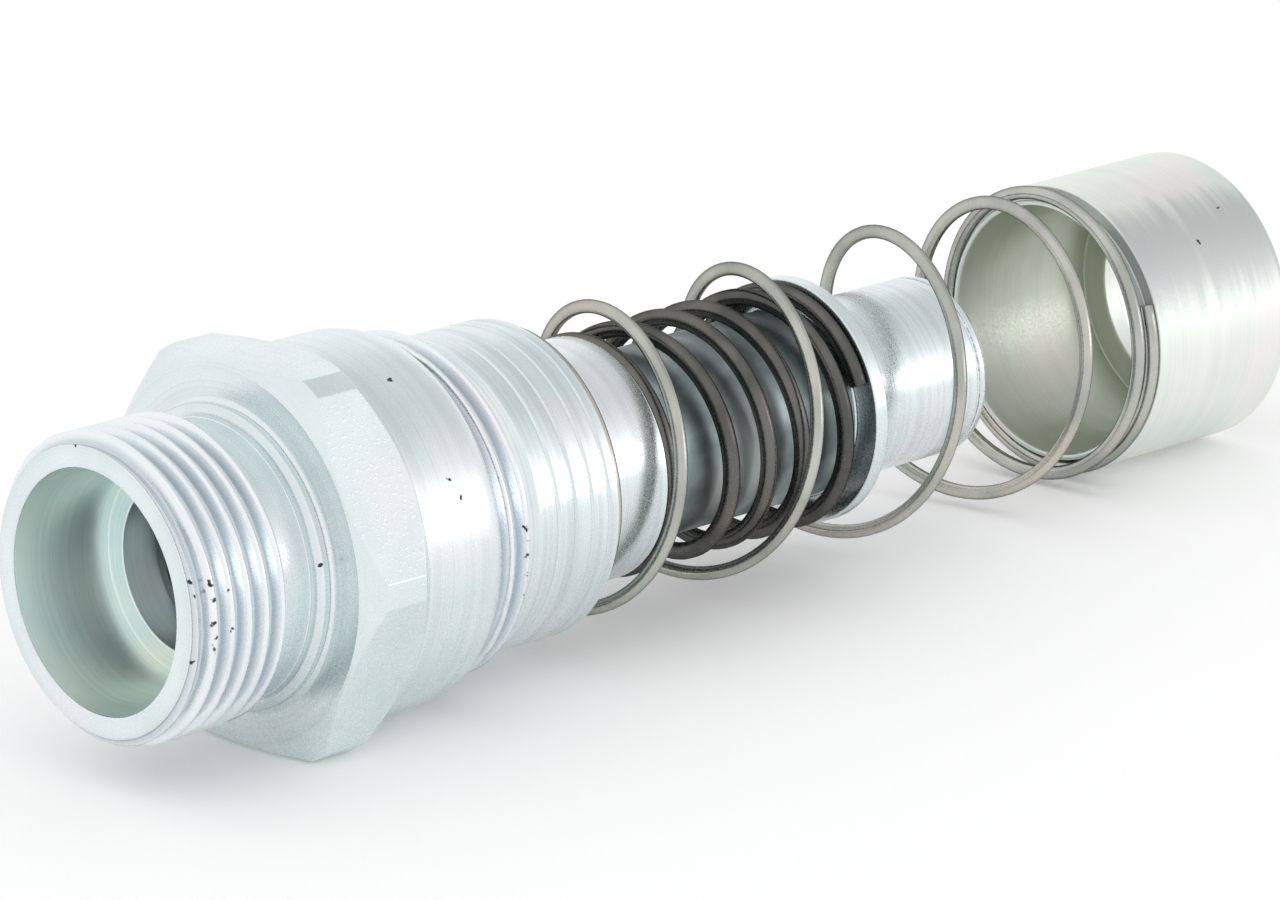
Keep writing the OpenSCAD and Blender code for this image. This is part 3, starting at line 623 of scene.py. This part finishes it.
def metal(name, plate, shade, warm, rough, lines=0.5, grain=0.3, marks=(), rim=1.0, sparkle=0.0,
          roots=None, painted_stripe_angle=None):
    """Turned metal: fine rings left by the tool, cloudy plating with a pale cast, grain and marks.
    roots is the two radii between which a thread's colour turns from a painted shade in its roots to its
    crests' colour, and the last argument the angle round the axis of a greyer stripe along the piece, a
    painted reflection of dimmer surroundings."""
    material, tree, shader = new_material(name, metallic=1.0, specular_tint=(rim, rim, rim, 1))
    point, path, radius = turning(tree)
    fine = noise(tree, FINE_LINES, 3.0, 0.6, w=path)
    coarse = noise(tree, COARSE_LINES, 2.0, 0.5, w=path)
    cloud = noise(tree, CLOUDS, 3.0, 0.55, vector=point)
    cast = noise(tree, CASTS, 2.0, 0.5, vector=point)
    speck = noise(tree, SPECKS, 2.0, 0.6, vector=point)
    colour = tint(tree, band(tree, cloud, 0.35, 0.65), plate, shade)
    colour = tint(tree, band(tree, cast, 0.5, 0.72, 0, 0.8), colour, warm)
    both = math_of(tree, "ADD", fine, coarse)
    line_shade = band(tree, both, 0.75, 1.15, 1 - 0.3 * lines, 1.0)
    colour = tint(tree, line_shade, tuple(LINE_DARK * c for c in shade), colour)
    # Painted shade: darker towards the thread's roots
    if roots:
        colour = tint(tree, band(tree, radius, roots[0], roots[1], 0.85, 0), colour, ROOT_PAINTED_SHADE)
    # Painted reflection: a greyer stripe with ragged edges along the piece, at one angle round the axis
    if painted_stripe_angle is not None:
        side = (0, math.cos(math.radians(painted_stripe_angle)), math.sin(math.radians(painted_stripe_angle)))
        across = add(tree, "VectorMath", {0: point, 1: side}, operation="DOT_PRODUCT").outputs["Value"]
        level = math_of(tree, "DIVIDE", across, radius)
        ragged = math_of(tree, "MULTIPLY_ADD", coarse, 0.12, level)
        colour = tint(tree, band(tree, ragged, 0.93, 1.05, 0, 0.8), colour, STRIPE_PAINTED_REFLECTION)
    if marks:
        colour = tint(tree, spots(tree, point, marks), colour, MARK)
    tree.links.new(colour, shader.inputs["Base Color"])
    tree.links.new(band(tree, speck, 0.3, 0.7, rough - 0.05, rough + 0.1), shader.inputs["Roughness"])
    height = math_of(tree, "MULTIPLY", fine, lines)
    height = math_of(tree, "ADD", height, math_of(tree, "MULTIPLY", speck, grain))
    if sparkle:
        pit = band(tree, noise(tree, PITS, 2.0, 0.6, vector=point), 0.58, 0.66, 0, sparkle)
        height = math_of(tree, "ADD", height, pit)
    bump = add(tree, "Bump", {"Height": height, "Strength": 0.35, "Distance": BUMP_HEIGHT * MM})
    tree.links.new(bump.outputs[0], shader.inputs["Normal"])
    return material


def make_materials():
    return {
        "zinc": metal("zinc_turned", ZINC, ZINC_SHADE, ZINC_WARM, 0.24, marks=ADAPTER_MARKS),
        "lined": metal("zinc_lined", ZINC, ZINC_SHADE, ZINC_WARM, 0.22, lines=0.8, marks=BARREL_MARKS),
        "flats": metal("zinc_flats", ZINC, ZINC_SHADE, ZINC_WARM, 0.26, lines=0.1, grain=0.8, sparkle=2.2),
        # Threads: pale crests as a painted highlight, and painted shade towards the roots
        "thread": metal("zinc_thread", THREAD, THREAD_SHADE, THREAD_WARM, 0.2, lines=0.3,
                        marks=ADAPTER_MARKS, roots=(10.15, 10.75)),
        "open_thread": metal("zinc_open_thread", THREAD, THREAD_SHADE, THREAD_WARM, 0.2, lines=0.4,
                             marks=BARREL_MARKS, roots=(11.6, 12.3)),
        "inside": metal("zinc_inside_painted_light", INSIDE_PAINTED_LIGHT, INSIDE_PAINTED_LIGHT_DIM, INSIDE_PAINTED_LIGHT_WARM, 0.36),
        "bore": metal("zinc_yellow_bore_painted_shade", BORE_PAINTED_SHADE, BORE_PAINTED_SHADE_DARK, BORE_PAINTED_SHADE_WARM, 0.42, lines=0.3),
        "tail": metal("zinc_tail_painted_shade", TAIL_PAINTED_SHADE, TAIL_PAINTED_SHADE_DARK, TAIL_PAINTED_SHADE_WARM, 0.4, grain=1.5),
        # The coupling sleeve's outside, with a painted reflection stripe at 142 degrees round the axis
        "sleeve": metal("zinc_yellow_turned", YELLOW, YELLOW_SHADE, YELLOW_WARM, 0.44, lines=0.3,
                        marks=SLEEVE_MARKS, painted_stripe_angle=142),
        "steel": metal("steel_turned", (0.62, 0.63, 0.64), (0.55, 0.56, 0.58), (0.6, 0.58, 0.55), 0.3),
        "dark_wire": metal("wire_dark", (0.17, 0.165, 0.16), (0.10, 0.10, 0.095), (0.22, 0.20, 0.18), 0.26,
                           lines=0.1, grain=0.8, rim=0.4),
        "light_wire": metal("wire_light", (0.55, 0.56, 0.51), (0.42, 0.43, 0.40), (0.66, 0.62, 0.54), 0.2,
                            lines=0.1, grain=0.5, rim=0.25),
        "bronze": metal("bronze_turned", (0.55, 0.40, 0.22), (0.45, 0.33, 0.18), (0.6, 0.42, 0.25), 0.35),
        "rubber": soft_material("seal_rubber", (0.02, 0.02, 0.022), (0.045, 0.045, 0.05), 0.55),
        "plastic": soft_material("backup_plastic", (0.82, 0.82, 0.80), (0.72, 0.72, 0.70), 0.45),
    }


def soft_material(name, dark, light, rough):
    """Moulded rubber or plastic with a fine grain and a faint mottle."""
    material, tree, shader = new_material(name)
    point = turning(tree)[0]
    mottle = noise(tree, 0.8, 4.0, 0.6, vector=point)
    grain = noise(tree, 14.0, 2.0, 0.6, vector=point)
    tree.links.new(tint(tree, band(tree, mottle, 0.3, 0.7), dark, light), shader.inputs["Base Color"])
    tree.links.new(band(tree, grain, 0.3, 0.7, rough - 0.1, rough + 0.1), shader.inputs["Roughness"])
    bump = add(tree, "Bump", {"Height": grain, "Strength": 0.3, "Distance": 0.01 * MM})
    tree.links.new(bump.outputs[0], shader.inputs["Normal"])
    return material


def paint(obj, material):
    obj.data.materials.clear()
    obj.data.materials.append(material)


def paint_between(obj, material, x0, x1, within=100.0, above=0.0):
    """Gives the faces between two places along the axis, and between two radii, one more material."""
    obj.data.materials.append(material)
    for face in obj.data.polygons:
        if x0 < face.center.x / MM < x1 and above < face.center.yz.length / MM < within:
            face.material_index = len(obj.data.materials) - 1


# ---------------------------------------------------------------- camera, floor and light
# The camera's focal length in mm, and its place from the port's face, in mm
FOCAL = 268.88
CAMERA_AT = Vector((-386.4, -478.95, 192.24)) * MM
CAMERA_UP = Vector((0.2033, 0.2005, 0.9584))
CAMERA_BACK = Vector((-0.6455, -0.7085, 0.2852))

# The floor: half its width in mm, and the share of white it adds where the camera or a reflection sees it
FLOOR_HALF = 4000.0
FLOOR_LIFT = 0.14

# The lamps: the way to them from a point on the axis, and that point's place in mm
LAMP_WAY = (0.65, -0.72, 0.12)
LAMP_MIDDLE_X = 45

# The world: the way to its dimmer part, how far that reaches, as cosines, and its colour and share
DIM_WAY = (0.65, 0.0, 0.76)
DIM_COSINES = (0.74, 0.98)
DIM_COLOUR = (0.40, 0.42, 0.43)
DIM_SHARE = 0.42


def make_camera():
    data = bpy.data.cameras.new("camera")
    data.lens = FOCAL
    data.sensor_width = 36.0
    data.clip_start = 0.01
    data.clip_end = 20
    camera = bpy.data.objects.new("camera", data)
    bpy.context.scene.collection.objects.link(camera)
    back = CAMERA_BACK.normalized()
    right = CAMERA_UP.cross(back).normalized()
    up = back.cross(right)
    place = Matrix((right, up, back)).transposed().to_4x4()
    place.translation = Vector((PORT_X * MM, 0, 0)) + CAMERA_AT
    camera.matrix_world = place
    bpy.context.scene.camera = camera


def make_floor():
    """A pale floor that touches the hexagon's lowest flat and the underside of the coupling sleeve."""
    rest_x, rest_z = HEX_BACK_X + 1.6, -HEX_FLAT
    far_x, far_z = SLEEVE_END_X - SLEEVE_END_R, -SLEEVE_R
    slope = (far_z - rest_z) / (far_x - rest_x)
    size = FLOOR_HALF
    corners = [(x, y, rest_z + slope * (x - rest_x)) for x, y in
               ((-size, -size), (size, -size), (size, size), (-size, size))]
    floor = make_object("floor", np.array(corners) * MM, [[0, 1, 2, 3]])
    material, tree, shader = new_material("floor_pale", roughness=0.9)
    shader.inputs["Specular IOR Level"].default_value = 0.0
    point = add(tree, "TexCoord").outputs["Object"]
    mottle = noise(tree, 30.0, 2.0, 0.5, vector=point)
    colour = tint(tree, mottle, (0.90, 0.90, 0.90), (0.93, 0.93, 0.93))
    tree.links.new(colour, shader.inputs["Base Color"])
    light = add(tree, "LightPath").outputs
    seen = math_of(tree, "MAXIMUM", light["Is Camera Ray"], light["Is Glossy Ray"])
    shader.inputs["Emission Color"].default_value = (1, 1, 1, 1)
    tree.links.new(math_of(tree, "MULTIPLY", seen, FLOOR_LIFT), shader.inputs["Emission Strength"])
    paint(floor, material)


def make_lamp(name, distance, size, power):
    """A round lamp in front on the right, at a distance from the part in metres."""
    data = bpy.data.lights.new(name, "AREA")
    data.shape = "DISK"
    data.size = size
    data.energy = power
    lamp = bpy.data.objects.new(name, data)
    bpy.context.scene.collection.objects.link(lamp)
    middle = Vector((LAMP_MIDDLE_X * MM, 0, 0))
    lamp.location = middle + Vector(LAMP_WAY).normalized() * distance
    lamp.rotation_euler = (lamp.location - middle).to_track_quat("Z", "Y").to_euler()


def make_world():
    """Even white light, a little dimmer from above on the right."""
    world = bpy.data.worlds.new("world")
    bpy.context.scene.world = world
    world.use_nodes = True
    tree = world.node_tree
    way = add(tree, "TexCoord").outputs["Generated"]
    dim = Vector(DIM_WAY).normalized()
    along = add(tree, "VectorMath", {0: way, 1: dim}, operation="DOT_PRODUCT").outputs["Value"]
    colour = tint(tree, band(tree, along, *DIM_COSINES, 0, DIM_SHARE), (1, 1, 1), DIM_COLOUR)
    path = add(tree, "LightPath").outputs["Is Camera Ray"]
    tree.links.new(tint(tree, path, colour, (1, 1, 1)), tree.nodes["Background"].inputs["Color"])


def main():
    materials = make_materials()
    adapter, barrel = make_adapter(), make_barrel()
    valve, sleeve = make_valve_sleeve(), make_coupling_sleeve()
    inner, outer = make_springs()
    paint(adapter, materials["zinc"])
    paint_between(adapter, materials["thread"], PORT_X + 0.12, PORT_THREAD_END_X - 0.02)
    # Painted light: the port's cone and bore get the paler, greener inside colours
    paint_between(adapter, materials["inside"], PORT_X + 0.03, SEAT_X, CONE_R - 0.03)
    paint_between(adapter, materials["flats"], HEX_X + 0.08, BAND_X - 0.03, above=BAND_R - 0.1)
    paint(barrel, materials["lined"])
    paint_between(barrel, materials["open_thread"], OPEN_THREAD_X, BODY_THREAD_END_X, above=RUNOUT_R)
    paint(valve, materials["lined"])
    # Painted shade: the tail inside the dark spring gets the dark tail colours
    paint_between(valve, materials["tail"], TAIL_X, FLANGE_X - 0.3)
    paint(sleeve, materials["sleeve"])
    # Painted shade: the coupling sleeve's bore gets the darker bore colours
    paint_between(sleeve, materials["bore"], SLEEVE_X + 0.4, SLEEVE_END_X - END_WALL + 0.05,
                  SLEEVE_BORE_R + 0.05)
    paint(inner, materials["dark_wire"])
    paint(outer, materials["light_wire"])
    looks = {"body_seal": "rubber", "stem_seal": "rubber", "tail_seal": "rubber", "wiper_ring": "rubber",
             "stem_backup_ring": "plastic", "tail_backup_ring": "plastic", "tail_guide_ring": "bronze",
             "stem_guide": "steel", "valve_stem": "steel", "stem_washer": "steel", "stem_nut": "steel"}
    for name, look in looks.items():
        paint(nodes[name], materials[look])
    make_camera()
    make_floor()
    make_lamp("front_right", 0.6, 0.2, 0.14)
    make_lamp("front_wide", 0.7, 0.5, 0.12)
    make_world()
    bpy.context.scene.view_settings.view_transform = "Standard"


main()
